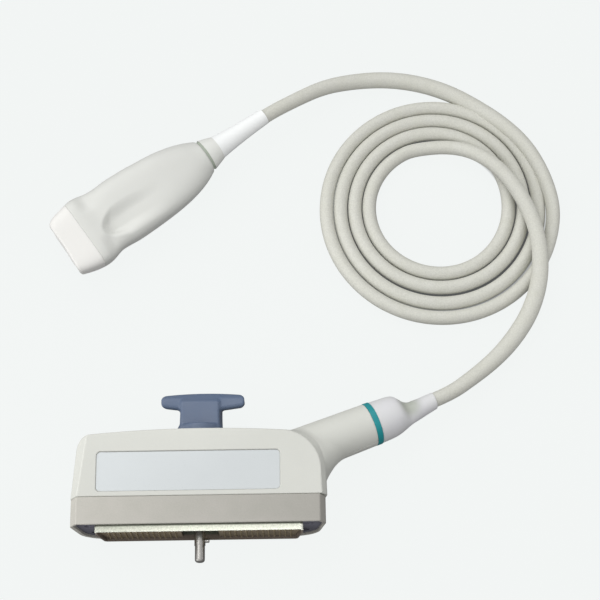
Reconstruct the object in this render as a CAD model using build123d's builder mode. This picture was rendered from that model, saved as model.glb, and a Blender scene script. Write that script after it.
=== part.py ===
from build123d import *
import os
from math import sin, cos, tan, radians, pi

os.makedirs("parts", exist_ok=True)

# ---------------------------------------------------------------- dimensions (mm)
# Everything is laid out on a table, +Z up; OX, OY move the layout so that the
# origin is under the middle of the handpiece and connector together.
OX, OY = -35.355, -21.250

# handpiece: nose front centre, axis direction, roll about the axis, axis height
NOSE_X, NOSE_Y = -140.58, 27.81
AXIS_DEG = 36.0
ROLL_DEG = 11.0
AXIS_Z = 15.04
GRIP_WALL = 2.6
SEAM_S = 15.5          # nose / grip seam
GRIP_END_S = 103.4     # rear end of the grip
COLLAR_S = 105.0       # collar front face
BOOT_S = 113.0         # boot front face
BOOT_END_S = 148.5     # boot nozzle
WINDOW_W, WINDOW_H = 24.0, 14.5

# connector: local u along X, v along Y (mating side negative), z up
CU, CV = -57.95, -143.5
CONN_W = 141.3
CONN_T = 40.0
MID_Z = CONN_T / 2
BAND_H = 15.5
R_FRONT, R_BACK = 4.0, 14.0
DRAFT = 0.16            # the sides lean in towards the back, below HULL_Z
HULL_Z = 34.0
WALL = 2.4
APEX_U, APEX_V = 1.0, 54.6
SPOUT_DEG = 22.0
SPOUT_DIP = 6.5          # the spout dips towards the table
RING_U, RING_V, RING_Z = 96.73, 60.69, 15.7
SPOUT_R0, SPOUT_R1 = 13.3, 12.5
RING_W = 3.3
BOOT_LEN = 41.3

# lock
SHAFT_R = 3.1
TIP_R = 2.8
TIP_V = -18.1
STEP_V = -8.6
HANDLE_V = 54.9
RUN_CLEAR = 0.05

# mating face
SHELL_U, SHELL_U_BACK = 57.7, 54.5
SHELL_Z0, SHELL_Z1 = 7.0, 33.0
SHELL_WALL = 1.2
RIM_V = -2.8
GASKET_V = 1.4
FLANGE_V0, FLANGE_V1 = 6.0, 7.5
PIN_PITCH = 3.1
PIN_R = 0.5
PIN_TIP_V = -2.2

# cable
CABLE_D = 8.7
COIL_X, COIL_Y = 85.59, 56.06
COIL_R_OUT, COIL_R_IN, COIL_H = 74.6, 37.4, 8.8

# ---------------------------------------------------------------- planes
A = Vector(cos(radians(AXIS_DEG)), sin(radians(AXIS_DEG)), 0)
LAT = Vector(-sin(radians(AXIS_DEG)), cos(radians(AXIS_DEG)), 0)
UP = Vector(0, 0, 1)
WIDE = LAT * cos(radians(ROLL_DEG)) + UP * sin(radians(ROLL_DEG))
THICK = UP * cos(radians(ROLL_DEG)) - LAT * sin(radians(ROLL_DEG))
N0 = Vector(NOSE_X - OX, NOSE_Y - OY, AXIS_Z)


def probe_plane(s, l=0.0, n=0.0):
    """Section plane of the handpiece at distance s behind the nose."""
    return Plane(origin=N0 + A * s + WIDE * l + THICK * n, x_dir=WIDE, z_dir=A)


probe_mid = Plane(origin=N0, x_dir=A, z_dir=THICK)

KX, KY = CU - OX, CV - OY


def face_plane(z):
    """Plane parallel to the label face, local (u, v)."""
    return Plane(origin=(KX, KY, z), x_dir=(1, 0, 0), z_dir=(0, 0, 1))


def mate_plane(v):
    """Plane parallel to the mating face, local (u, z); its normal points out of the mating face."""
    return Plane(origin=(KX, KY + v, 0), x_dir=(1, 0, 0), z_dir=(0, -1, 0))


DIP = radians(SPOUT_DIP)
SH = Vector(cos(radians(SPOUT_DEG)), sin(radians(SPOUT_DEG)), 0)
SA = SH * cos(DIP) - UP * sin(DIP)
SUP = UP * cos(DIP) + SH * sin(DIP)
RING_C = Vector(KX + RING_U, KY + RING_V, RING_Z)


def spout_plane(t):
    """Section plane of the cable spout, t measured from the ring along the cable."""
    return Plane(origin=RING_C + SA * t, z_dir=SA, x_dir=SUP)


spout_mid = Plane(origin=RING_C, x_dir=SA, z_dir=SUP)
lock_axis = Axis((KX, KY, MID_Z), (0, 1, 0))


def finish(builder, label):
    builder.part.label = label
    export_step(builder.part, f"parts/{label}.step")


# ---------------------------------------------------------------- handpiece
# section tables: distance behind the nose, half width, half thickness, corner radius
NOSE = [(0.6, 15.2, 9.3, 4.2), (5.0, 17.0, 9.7, 4.8), (10.0, 18.7, 10.2, 5.4), (SEAM_S, 20.0, 10.7, 6.0)]
GRIP = [
    (SEAM_S, 20.0, 10.7, 6.0),
    (20.0, 20.9, 11.2, 7.0),
    (26.0, 20.3, 11.7, 8.4),
    (32.0, 19.5, 12.2, 9.4),
    (42.0, 19.9, 12.9, 10.6),
    (54.0, 20.5, 13.3, 11.4),
    (66.0, 20.4, 13.3, 11.6),
    (76.0, 19.7, 12.9, 11.4),
    (85.0, 18.2, 12.1, 10.9),
    (93.0, 16.0, 11.0, 10.1),
    (99.0, 13.3, 9.9, 9.2),
    (GRIP_END_S, 10.6, 9.2, 8.8),
]


def probe_sections(table, shrink=0.0):
    """Rounded-rectangle sections of the handpiece, each on its own plane."""
    sections = []
    for s, w, h, r in table:
        with BuildSketch(probe_plane(s)) as section:
            RectangleRounded(2 * (w - shrink), 2 * (h - shrink), max(r - shrink, 1.0))
        sections.append(section.sketch)
    return sections


def grip_body():
    loft(probe_sections(GRIP))
    cavity = [row for row in GRIP if row[0] < 97.0]
    loft(probe_sections(cavity, GRIP_WALL), mode=Mode.SUBTRACT)
    with BuildSketch(probe_plane(92.0)) as exit_hole:
        Circle(4.6)
    extrude(exit_hole.sketch, amount=14.0, mode=Mode.SUBTRACT)


with BuildPart() as grip_shell_upper:
    grip_body()
    # shallow thumb recess that runs out towards the tail
    tilt = radians(2.4)
    run_dir = A * cos(tilt) + THICK * sin(tilt)
    start = N0 + A * 40.0 + THICK * (12.7 + 22.0 - 1.5)
    with Locations(Plane(origin=start, z_dir=run_dir, x_dir=WIDE)):
        Cylinder(22.0, 70.0, align=(Align.CENTER, Align.CENTER, Align.MIN), mode=Mode.SUBTRACT)
    with Locations(Location(start)):
        Sphere(22.0, mode=Mode.SUBTRACT)
    split(bisect_by=probe_mid, keep=Keep.TOP)
finish(grip_shell_upper, "grip_shell_upper")

with BuildPart() as grip_shell_lower:
    grip_body()
    split(bisect_by=probe_mid, keep=Keep.BOTTOM)
    # four bosses that carry the board
    for s in (30.0, 62.0):
        for l in (-9.0, 9.0):
            with BuildSketch(Plane(origin=N0 + A * s + WIDE * l + THICK * (-11.0), x_dir=A, z_dir=THICK)):
                Circle(2.2)
            extrude(amount=10.2)
finish(grip_shell_lower, "grip_shell_lower")

with BuildPart() as nose_housing:
    loft(probe_sections(NOSE))
    with BuildSketch(probe_plane(-1.0)):
        RectangleRounded(WINDOW_W, WINDOW_H, 3.0)
    extrude(amount=20.0, mode=Mode.SUBTRACT)
finish(nose_housing, "nose_housing")

with BuildPart() as acoustic_lens:
    with BuildSketch(probe_plane(-0.6)):
        RectangleRounded(WINDOW_W, WINDOW_H, 3.0)
    extrude(amount=2.4)
    fillet(acoustic_lens.faces().sort_by(Axis(N0, A))[0].edges(), radius=0.8)
finish(acoustic_lens, "acoustic_lens")

with BuildPart() as matching_layer:
    with BuildSketch(probe_plane(1.8)):
        RectangleRounded(WINDOW_W, WINDOW_H, 3.0)
    extrude(amount=0.8)
finish(matching_layer, "matching_layer")

with BuildPart() as piezo_array:
    with BuildSketch(probe_plane(2.6)):
        Rectangle(21.0, 11.0)
    extrude(amount=0.7)
    # dicing kerfs across the array
    with BuildSketch(probe_plane(2.6)):
        with GridLocations(1.0, 0, 20, 1):
            Rectangle(0.15, 11.0)
    extrude(amount=0.45, mode=Mode.SUBTRACT)
finish(piezo_array, "piezo_array")

with BuildPart() as backing_block:
    with BuildSketch(probe_plane(3.3)):
        Rectangle(21.0, 11.0)
    extrude(amount=9.0)
finish(backing_block, "backing_block")

with BuildPart() as probe_board:
    with BuildSketch(probe_plane(20.0)):
        Rectangle(26.0, 1.6)
    extrude(amount=52.0)
finish(probe_board, "probe_board")

with BuildPart() as flex_circuit:
    with BuildSketch(probe_plane(12.3, 0, 0.95)):
        Rectangle(18.0, 0.3)
    extrude(amount=14.0)
finish(flex_circuit, "flex_circuit")

with BuildPart() as coax_bundle_probe:
    with BuildSketch(probe_plane(72.0)):
        Circle(3.4)
    extrude(amount=58.0)
finish(coax_bundle_probe, "coax_bundle_probe")

with BuildPart() as probe_cable_clamp:
    with BuildSketch(probe_plane(80.0)):
        RectangleRounded(15.0, 12.0, 2.0)
        Circle(3.4, mode=Mode.SUBTRACT)
    extrude(amount=7.0)
finish(probe_cable_clamp, "probe_cable_clamp")

with BuildPart() as tail_seal:
    with BuildSketch(probe_plane(GRIP_END_S)):
        Ellipse(9.7, 8.6)
        Circle(4.4, mode=Mode.SUBTRACT)
    extrude(amount=COLLAR_S - GRIP_END_S)
finish(tail_seal, "tail_seal")

with BuildPart() as tail_collar:
    for s, w, h in ((COLLAR_S, 10.2, 9.1), (109.0, 9.0, 8.4), (BOOT_S, 7.7, 7.5)):
        with BuildSketch(probe_plane(s)):
            Ellipse(w, h)
    loft()
    with BuildSketch(probe_plane(COLLAR_S - 1.0)):
        Circle(CABLE_D / 2)
    extrude(amount=12.0, mode=Mode.SUBTRACT)
finish(tail_collar, "tail_collar")

probe_axis = Axis(N0, A)
with BuildPart() as probe_boot:
    with BuildSketch(probe_mid):
        with BuildLine():
            a = Line((BOOT_S, CABLE_D / 2), (BOOT_S, 7.5))
            b = Spline((BOOT_S, 7.5), (121.0, 6.6), (134.0, 5.6), (BOOT_END_S, 4.95))
            c = Line((BOOT_END_S, 4.95), (BOOT_END_S, CABLE_D / 2))
            d = Line((BOOT_END_S, CABLE_D / 2), (BOOT_S, CABLE_D / 2))
        make_face()
    revolve(axis=probe_axis)
finish(probe_boot, "probe_boot")

# ---------------------------------------------------------------- cable
LEAD = [
    (-35.41, 104.23, 15.04), (-19.23, 115.98, 14.9), (-1.5, 127.64, 13.0), (16.67, 137.96, 9.8),
    (36.76, 143.44, 6.4), (57.08, 144.72, 4.8), (76.83, 141.41, 4.6), (95.12, 134.32, 4.9),
    (111.75, 123.26, 6.3), (126.76, 111.02, 7.9), (139.84, 96.72, 8.6),
]
EXIT = [
    (94.54, 97.03, 6.2), (111.41, 88.76, 12.2), (125.69, 75.03, 14.2), (135.73, 58.38, 13.9),
    (142.25, 40.27, 13.8), (144.16, 21.74, 13.8), (141.88, 3.77, 12.8), (135.31, -13.13, 8.9),
    (124.5, -28.1, 6.6), (112.9, -41.0, 6.8), (99.3, -53.2, 8.2), (84.63, -64.28, 10.07),
    (65.35, -72.08, 12.44),
]


def cord_radii(points):
    """Corner radii of a cable run: 0.45 of the shorter run over the tangent of half the turn."""
    radii = []
    for p, q, r in zip(points, points[1:], points[2:]):
        first, second = Vector(*q) - Vector(*p), Vector(*r) - Vector(*q)
        turn = radians(first.get_angle(second))
        radii.append(0.45 * min(first.length, second.length) / tan(turn / 2))
    return radii


def cord_tube(points):
    shifted = [(x - OX, y - OY, z) for x, y, z in points]
    radii = cord_radii(shifted)
    with BuildLine() as route:
        FilletPolyline(*shifted, radius=radii)
    with BuildSketch(Plane(origin=route.line @ 0, z_dir=route.line % 0)) as section:
        Circle(CABLE_D / 2)
    sweep(section.sketch, path=route.line)
    return radii, sum(edge.length for edge in route.edges())


with BuildPart() as cable_lead_probe:
    radii, length = cord_tube(LEAD)
finish(cable_lead_probe, "cable_lead_probe")
print("lead radii", [round(r, 1) for r in radii], "length", round(length, 1),
      "volume ratio", round(cable_lead_probe.part.volume / (pi * CABLE_D ** 2 / 4 * length), 4))

with BuildPart() as cable_coil:
    with BuildSketch(Plane(origin=(COIL_X - OX, COIL_Y - OY, 0))):
        Circle(COIL_R_OUT)
        Circle(COIL_R_IN, mode=Mode.SUBTRACT)
    extrude(amount=COIL_H)
    fillet(cable_coil.edges(), radius=3.0)
finish(cable_coil, "cable_coil")

with BuildPart() as cable_lead_connector:
    radii, length = cord_tube(EXIT)
finish(cable_lead_connector, "cable_lead_connector")
print("exit radii", [round(r, 1) for r in radii], "length", round(length, 1),
      "volume ratio", round(cable_lead_connector.part.volume / (pi * CABLE_D ** 2 / 4 * length), 4))

# ---------------------------------------------------------------- connector housing
HALF = CONN_W / 2
COVER_SCREWS = [(-44.0, 32.0), (-16.0, 33.0), (20.0, 33.0), (46.0, 26.0)]


def cover_profile(z, inset, base, r_right, r_left):
    """Outline of the housing seen from the label side: bowed top, drafted left end, rounded right corner."""
    right_top = (HALF - 0.5 - inset, APEX_V - 3.4 - inset)
    left_top = (-65.9 + 1.15 * inset, APEX_V - 3.17 - inset)
    with BuildSketch(face_plane(z)) as outline:
        with BuildLine():
            Line((-HALF + inset, base), (HALF - inset, base))
            Line((HALF - inset, base), right_top)
            ThreePointArc(right_top, (APEX_U, APEX_V - inset), left_top)
            Line(left_top, (-HALF + inset, base))
        make_face()
        fillet(outline.vertices().sort_by_distance((*right_top, 0))[0], radius=r_right)
        fillet(outline.vertices().sort_by_distance((*left_top, 0))[0], radius=r_left)
    return outline.sketch


HULL_C = R_BACK * (1 + DRAFT ** 2) ** 0.5 + DRAFT * (HULL_Z - R_BACK)


def hull_inset(z, wall=0.0):
    """How far the housing's side has leaned in at height z: a drafted wall with a round back edge."""
    lean = DRAFT * (HULL_Z - z) + wall
    r = R_BACK - wall
    if z < R_BACK - 0.158 * r:
        return HULL_C - max(r ** 2 - (R_BACK - z) ** 2, 0.0) ** 0.5
    return lean


def cover_body():
    outside = [cover_profile(z, hull_inset(z), BAND_H, 19.0 - 0.5 * hull_inset(z), 4.8)
               for z in (0.0, 0.4, 1.2, 2.6, 4.6, 7.6, 11.7, HULL_Z)]
    loft(outside, ruled=True)
    block = extrude(cover_profile(HULL_Z, 0.0, BAND_H, 19.0, 4.8), amount=CONN_T - HULL_Z)
    top = block.faces().sort_by(Axis.Z)[-1].edges().sort_by(Axis.Y)[1:]
    fillet(top, radius=R_FRONT)
    with Locations(spout_plane(-52.0)):
        Cone(SPOUT_R0, SPOUT_R1, 52.0, align=(Align.CENTER, Align.CENTER, Align.MIN))
    inside = [cover_profile(z, hull_inset(z, WALL), BAND_H - 1.0, 16.6 - 0.5 * hull_inset(z, WALL), 2.4)
              for z in (WALL, 3.0, 4.2, 6.2, 9.0, 12.2, HULL_Z)]
    loft(inside, ruled=True, mode=Mode.SUBTRACT)
    extrude(cover_profile(HULL_Z, WALL, BAND_H - 1.0, 16.6 - 0.5 * WALL, 2.4), amount=CONN_T - WALL - HULL_Z, mode=Mode.SUBTRACT)
    with BuildSketch(spout_plane(0.5)) as cable_way:
        Circle(10.4)
    extrude(cable_way.sketch, amount=-50.0, mode=Mode.SUBTRACT)
    # seat of the upper shaft bush
    with BuildSketch(mate_plane(44.0)) as bush_seat:
        with Locations((0, MID_Z)):
            Circle(5.0)
    extrude(bush_seat.sketch, amount=-14.0, mode=Mode.SUBTRACT)


with BuildPart() as front_cover:
    cover_body()
    split(bisect_by=Plane.XY.offset(MID_Z), keep=Keep.TOP)
    with BuildSketch(face_plane(MID_Z)):
        with Locations(*COVER_SCREWS):
            Circle(3.2)
    extrude(amount=MID_Z - 1.0)
    with BuildSketch(face_plane(MID_Z)):
        with Locations(*COVER_SCREWS):
            Circle(1.4)
    extrude(amount=13.0, mode=Mode.SUBTRACT)
    # recess of the label
    with BuildSketch(face_plane(CONN_T - 0.9)):
        with Locations((-5.65, 29.7)):
            RectangleRounded(102.1, 22.4, 2.3)
    extrude(amount=2.0, mode=Mode.SUBTRACT)
finish(front_cover, "front_cover")

with BuildPart() as rear_cover:
    cover_body()
    split(bisect_by=Plane.XY.offset(MID_Z), keep=Keep.BOTTOM)
    with BuildSketch(face_plane(1.0)):
        with Locations(*COVER_SCREWS):
            Circle(3.2)
    extrude(amount=MID_Z - 1.0)
    with BuildSketch(face_plane(-1.0)):
        with Locations(*COVER_SCREWS):
            Circle(1.5)
    extrude(amount=30.0, mode=Mode.SUBTRACT)
    with BuildSketch(face_plane(-1.0)):
        with Locations(*COVER_SCREWS):
            Circle(2.9)
    extrude(amount=3.4, mode=Mode.SUBTRACT)
finish(rear_cover, "rear_cover")

with BuildPart() as cover_screws:
    with BuildSketch(face_plane(0.6)):
        with Locations(*COVER_SCREWS):
            Circle(2.7)
    extrude(amount=1.8)
    with BuildSketch(face_plane(2.4)):
        with Locations(*COVER_SCREWS):
            Circle(1.4)
    extrude(amount=30.0)
    # cross recess of the heads
    with BuildSketch(face_plane(0.6)):
        with Locations(*COVER_SCREWS):
            Rectangle(3.0, 0.6)
            Rectangle(0.6, 3.0)
    extrude(amount=0.9, mode=Mode.SUBTRACT)
finish(cover_screws, "cover_screws")

with BuildPart() as label_plate:
    with BuildSketch(face_plane(CONN_T - 0.9)):
        with Locations((-5.65, 29.7)):
            RectangleRounded(101.8, 22.1, 2.15)
    extrude(amount=0.4)
finish(label_plate, "label_plate")


def hull_section(inset, r_front, r_back):
    """Section of the housing in the mating plane: upright by the label face, drafted and well rounded at the back."""
    top = CONN_T - inset
    lean = DRAFT * (HULL_Z - inset) + (1 + DRAFT ** 2) ** 0.5 * inset
    right = [(HALF - lean, inset), (HALF - inset, HULL_Z), (HALF - inset, top)]
    if top < HULL_Z + 2.5:
        right[1:] = [(HALF - lean + DRAFT * (top - inset), top)]
    with BuildSketch(Plane.XY) as sk:
        with BuildLine():
            Polyline(*right, *[(-u, z) for u, z in reversed(right)], close=True)
        make_face()
        fillet(sk.vertices().group_by(Axis.Y)[-1], radius=r_front)
        fillet(sk.vertices().group_by(Axis.Y)[0], radius=r_back)
    return sk.sketch


band_outer = hull_section(0.0, R_FRONT, R_BACK)
band_well = hull_section(1.6, 2.5, R_BACK - 1.6)
band_core = hull_section(5.0, 1.0, R_BACK - 5.0)
gasket_edge = hull_section(1.6, 2.5, R_BACK - 1.6)
flange_edge = hull_section(1.8, 2.3, R_BACK - 1.8)
board_edge = hull_section(6.4, 1.0, R_BACK - 6.0)


def shell_profile(inset):
    """D-shaped outline of the metal shell, wider at the label side."""
    w1, w0 = SHELL_U - inset, SHELL_U_BACK - inset
    with BuildSketch(Plane.XY) as sk:
        with BuildLine():
            Polyline((-w1, SHELL_Z1 - inset), (-w1, 24.0), (-w0, SHELL_Z0 + inset),
                     (w0, SHELL_Z0 + inset), (w1, 24.0), (w1, SHELL_Z1 - inset), close=True)
        make_face()
        fillet(sk.vertices(), radius=max(2.0 - inset, 0.8))
    return sk.sketch


shell_outer = shell_profile(0.0)
shell_inner = shell_profile(SHELL_WALL)

with BuildPart() as lower_band:
    with BuildSketch(mate_plane(0)):
        add(band_outer)
    extrude(amount=-BAND_H)
    fillet(lower_band.faces().sort_by(Axis.Y)[0].outer_wire().edges(), radius=0.5)
    with BuildSketch(mate_plane(-1.0)):
        add(band_well)
    extrude(amount=-(FLANGE_V1 + 1.0), mode=Mode.SUBTRACT)
    with BuildSketch(mate_plane(0)):
        add(band_core)
    extrude(amount=-(BAND_H + 1.0), mode=Mode.SUBTRACT)
finish(lower_band, "lower_band")

SHELL_SCREWS = [(-58.6, 12.0), (-61.0, 28.0), (58.6, 12.0), (61.0, 28.0)]

with BuildPart() as face_gasket:
    with BuildSketch(mate_plane(GASKET_V)):
        add(gasket_edge)
        add(shell_outer, mode=Mode.SUBTRACT)
        with Locations(*SHELL_SCREWS):
            Circle(2.8, mode=Mode.SUBTRACT)
    extrude(amount=-(FLANGE_V0 - GASKET_V))
finish(face_gasket, "face_gasket")

with BuildPart() as pin_shell:
    with BuildSketch(mate_plane(FLANGE_V0)):
        add(flange_edge)
    extrude(amount=-(FLANGE_V1 - FLANGE_V0))
    with BuildSketch(mate_plane(RIM_V)):
        add(shell_outer)
    extrude(amount=-(FLANGE_V0 - RIM_V))
    with BuildSketch(mate_plane(RIM_V - 1)):
        add(shell_inner)
    extrude(amount=-20.0, mode=Mode.SUBTRACT)
    with BuildSketch(mate_plane(0)):
        with Locations(*SHELL_SCREWS):
            Circle(1.4)
    extrude(amount=-12.0, mode=Mode.SUBTRACT)
finish(pin_shell, "pin_shell")

INS_U0 = 10.4
INS_V0, INS_V1 = -0.9, 13.0
with BuildPart() as contact_insulators:
    with BuildSketch(mate_plane(INS_V0)):
        add(shell_profile(SHELL_WALL + 0.2))
        with Locations((0, MID_Z)):
            Rectangle(2 * INS_U0, CONN_T, mode=Mode.SUBTRACT)
    extrude(amount=-(INS_V1 - INS_V0))
finish(contact_insulators, "contact_insulators")

PIN_U = 32.2
PIN_Z = 20.0
with BuildPart() as contact_pins:
    with BuildSketch(mate_plane(PIN_TIP_V)):
        with Locations((PIN_U, PIN_Z), (-PIN_U, PIN_Z)):
            with GridLocations(PIN_PITCH, PIN_PITCH, 13, 7):
                Circle(PIN_R)
    extrude(amount=-(20.0 - PIN_TIP_V))
finish(contact_pins, "contact_pins")

with BuildPart() as lock_housing:
    with BuildSketch(mate_plane(6.0)):
        with Locations((0, MID_Z)):
            Rectangle(2 * INS_U0, 23.4)
            Circle(5.0, mode=Mode.SUBTRACT)
    extrude(amount=-7.0)
finish(lock_housing, "lock_housing")

with BuildPart() as shaft_bush_lower:
    with BuildSketch(mate_plane(6.0)):
        with Locations((0, MID_Z)):
            Circle(5.0)
            Circle(SHAFT_R + RUN_CLEAR, mode=Mode.SUBTRACT)
    extrude(amount=-7.0)
finish(shaft_bush_lower, "shaft_bush_lower")

with BuildPart() as shaft_bush_upper:
    with BuildSketch(mate_plane(46.4)):
        with Locations((0, MID_Z)):
            Circle(5.0)
    extrude(amount=-7.7)
    with BuildSketch(mate_plane(46.4)):
        with Locations((0, MID_Z)):
            Circle(7.5)
    extrude(amount=-2.2)
    with BuildSketch(mate_plane(45.9)):
        with Locations((0, MID_Z)):
            Circle(SHAFT_R + RUN_CLEAR)
    extrude(amount=-10.0, mode=Mode.SUBTRACT)
finish(shaft_bush_upper, "shaft_bush_upper")

BOARD_V0, BOARD_V1 = 16.6, 18.2
with BuildPart() as interface_board:
    with BuildSketch(mate_plane(BOARD_V0)):
        add(board_edge)
        with Locations((0, MID_Z)):
            Circle(6.0, mode=Mode.SUBTRACT)
        with Locations(*SHELL_SCREWS):
            Circle(1.6, mode=Mode.SUBTRACT)
    extrude(amount=-(BOARD_V1 - BOARD_V0))
finish(interface_board, "interface_board")

with BuildPart() as board_standoffs:
    with BuildSketch(mate_plane(FLANGE_V1)):
        with Locations(*SHELL_SCREWS):
            Circle(2.5)
            Circle(1.4, mode=Mode.SUBTRACT)
    extrude(amount=-(BOARD_V0 - FLANGE_V1))
finish(board_standoffs, "board_standoffs")

with BuildPart() as shell_screws:
    with BuildSketch(mate_plane(FLANGE_V0)):
        with Locations(*SHELL_SCREWS):
            Circle(2.4)
    extrude(amount=1.6)
    with BuildSketch(mate_plane(FLANGE_V0)):
        with Locations(*SHELL_SCREWS):
            Circle(1.35)
    extrude(amount=-5.0)
    with BuildSketch(mate_plane(FLANGE_V0 - 1.6)):
        with Locations(*SHELL_SCREWS):
            Rectangle(2.8, 0.6)
            Rectangle(0.6, 2.8)
    extrude(amount=-0.8, mode=Mode.SUBTRACT)
finish(shell_screws, "shell_screws")

with BuildPart() as board_screws:
    with BuildSketch(mate_plane(BOARD_V1)):
        with Locations(*SHELL_SCREWS):
            Circle(2.4)
    extrude(amount=-1.5)
    with BuildSketch(mate_plane(BOARD_V1)):
        with Locations(*SHELL_SCREWS):
            Circle(1.35)
    extrude(amount=5.0)
finish(board_screws, "board_screws")

# ---------------------------------------------------------------- cable end of the connector
with BuildPart() as spout_ring:
    with BuildSketch(spout_plane(0)):
        Circle(12.65)
        Circle(8.0, mode=Mode.SUBTRACT)
    extrude(amount=RING_W)
    fillet(spout_ring.edges().filter_by(GeomType.CIRCLE).sort_by(SortBy.RADIUS)[-2:], radius=0.35)
finish(spout_ring, "spout_ring")

with BuildPart() as connector_boot:
    r = CABLE_D / 2
    with BuildSketch(spout_mid):
        with BuildLine():
            Polyline((RING_W, r), (RING_W, 12.3), (RING_W + 6.2, 12.05))
            Spline((RING_W + 6.2, 12.05), (13.0, 11.6), (16.6, 10.7), (19.6, 9.2), (22.2, 7.5), (25.0, 6.25),
                   (29.0, 5.5), (34.5, 5.15), (BOOT_LEN, 4.95))
            Polyline((BOOT_LEN, 4.95), (BOOT_LEN, r), (RING_W, r))
        make_face()
    revolve(axis=Axis(RING_C, SA))
finish(connector_boot, "connector_boot")

with BuildPart() as coax_bundle_connector:
    with BuildSketch(spout_plane(28.82)):
        Circle(3.4)
    extrude(amount=-87.0)
finish(coax_bundle_connector, "coax_bundle_connector")

with BuildPart() as cable_clamp:
    with BuildSketch(spout_plane(-20.0)):
        Circle(10.3)
        Circle(3.4, mode=Mode.SUBTRACT)
    extrude(amount=8.0)
finish(cable_clamp, "cable_clamp")

# ---------------------------------------------------------------- quarter-turn lock
with BuildPart() as lock_shaft:
    with BuildSketch(face_plane(MID_Z)):
        with BuildLine():
            Polyline((0, TIP_V), (TIP_R - 1.6, TIP_V))
            RadiusArc((TIP_R - 1.6, TIP_V), (TIP_R, TIP_V + 1.6), -1.6)
            Polyline((TIP_R, TIP_V + 1.6), (TIP_R, STEP_V), (SHAFT_R, STEP_V), (SHAFT_R, 44.6),
                     (2.5, 44.6), (2.5, 45.8), (SHAFT_R, 45.8), (SHAFT_R, 68.0), (0, 68.0), (0, TIP_V))
        make_face()
    revolve(axis=lock_axis)
    with BuildSketch(Plane(origin=(KX, KY - 5.8, MID_Z), z_dir=(1, 0, 0))):
        Circle(1.25)
    extrude(amount=6.0, mode=Mode.SUBTRACT)
finish(lock_shaft, "lock_shaft")

with BuildPart() as shaft_cross_pin:
    with BuildSketch(Plane(origin=(KX, KY - 5.8, MID_Z), z_dir=(1, 0, 0))):
        Circle(1.25)
    extrude(amount=5.3)
    fillet(shaft_cross_pin.faces().sort_by(Axis.X)[-1].edges(), radius=0.4)
finish(shaft_cross_pin, "shaft_cross_pin")

with BuildPart() as shaft_clip:
    with BuildSketch(mate_plane(44.7)):
        with Locations((0, MID_Z)):
            Circle(5.2)
            Circle(2.5, mode=Mode.SUBTRACT)
        with Locations((0, MID_Z - 4.0)):
            Rectangle(3.4, 4.6, mode=Mode.SUBTRACT)
    extrude(amount=-1.0)
finish(shaft_clip, "shaft_clip")

with BuildPart() as t_handle:
    # cross bar with rounded ends and a slightly bowed top, on a narrower web
    with BuildSketch(face_plane(MID_Z)) as tee:
        with BuildLine():
            Line((-22.2, 70.8), (-22.2, 76.9))
            ThreePointArc((-22.2, 76.9), (2.0, 78.9), (25.2, 77.5))
            Line((25.2, 77.5), (25.2, 70.8))
            Polyline((25.2, 70.8), (11.6, 69.2), (11.6, 57.9), (-11.6, 57.9), (-11.6, 69.2), (-22.2, 70.8))
        make_face()
        fillet(tee.vertices().group_by(Axis.X)[0], radius=2.6)
        fillet(tee.vertices().group_by(Axis.X)[-1], radius=2.6)
        fillet(tee.vertices().sort_by_distance((11.6, 69.2, 0))[0], radius=2.5)
        fillet(tee.vertices().sort_by_distance((-11.6, 69.2, 0))[0], radius=2.5)
    extrude(amount=6.2, both=True)
    # thicker stem with flat front and back panels
    with BuildSketch(mate_plane(57.9)):
        with Locations((0, MID_Z)):
            RectangleRounded(24.4, 17.0, 3.0)
    extrude(amount=-17.4)
    # round skirt over the bush
    with BuildSketch(mate_plane(HANDLE_V)):
        with Locations((0, MID_Z)):
            Circle(13.25)
    extrude(amount=-5.0)
    with BuildSketch(mate_plane(HANDLE_V - 1.0)):
        with Locations((0, MID_Z)):
            Circle(SHAFT_R)
    extrude(amount=-15.0, mode=Mode.SUBTRACT)
    with BuildSketch(Plane(origin=(KX, KY + 63.0, MID_Z), z_dir=(0, 0, -1))):
        Circle(1.5)
    extrude(amount=10.0, mode=Mode.SUBTRACT)
finish(t_handle, "t_handle")

with BuildPart() as handle_set_screw:
    with BuildSketch(Plane(origin=(KX, KY + 63.0, MID_Z - SHAFT_R), z_dir=(0, 0, -1))):
        Circle(1.5)
    extrude(amount=4.6)
    with BuildSketch(Plane(origin=(KX, KY + 63.0, MID_Z - SHAFT_R - 4.6), z_dir=(0, 0, 1))):
        RegularPolygon(0.75, 6)
    extrude(amount=1.5, mode=Mode.SUBTRACT)
finish(handle_set_screw, "handle_set_screw")
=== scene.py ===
import math

import bpy
import numpy as np
from mathutils import Matrix, Vector


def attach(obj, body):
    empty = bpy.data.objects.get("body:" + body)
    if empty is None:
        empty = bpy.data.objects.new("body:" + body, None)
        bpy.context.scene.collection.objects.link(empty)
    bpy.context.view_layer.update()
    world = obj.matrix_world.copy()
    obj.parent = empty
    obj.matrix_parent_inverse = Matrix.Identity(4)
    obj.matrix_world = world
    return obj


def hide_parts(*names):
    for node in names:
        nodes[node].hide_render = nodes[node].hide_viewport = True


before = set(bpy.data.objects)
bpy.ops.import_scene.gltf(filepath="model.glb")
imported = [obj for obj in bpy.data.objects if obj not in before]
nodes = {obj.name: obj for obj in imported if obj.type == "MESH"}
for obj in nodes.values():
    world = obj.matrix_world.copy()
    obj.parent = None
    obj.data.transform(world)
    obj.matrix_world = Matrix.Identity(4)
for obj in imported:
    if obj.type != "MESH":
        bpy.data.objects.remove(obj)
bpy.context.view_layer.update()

scene = bpy.context.scene
scene.view_settings.view_transform = "Standard"
scene.view_settings.look = "None"

# the part is laid out on a table; this moves layout millimetres into the row frame
LAYOUT = np.array([35.355, 21.250, 0.0])
# connector corner and handpiece nose in the row frame, millimetres
KX, KY = -22.595, -122.250
NOSE_AT = np.array([-140.58, 27.81, 15.04]) + LAYOUT


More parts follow.
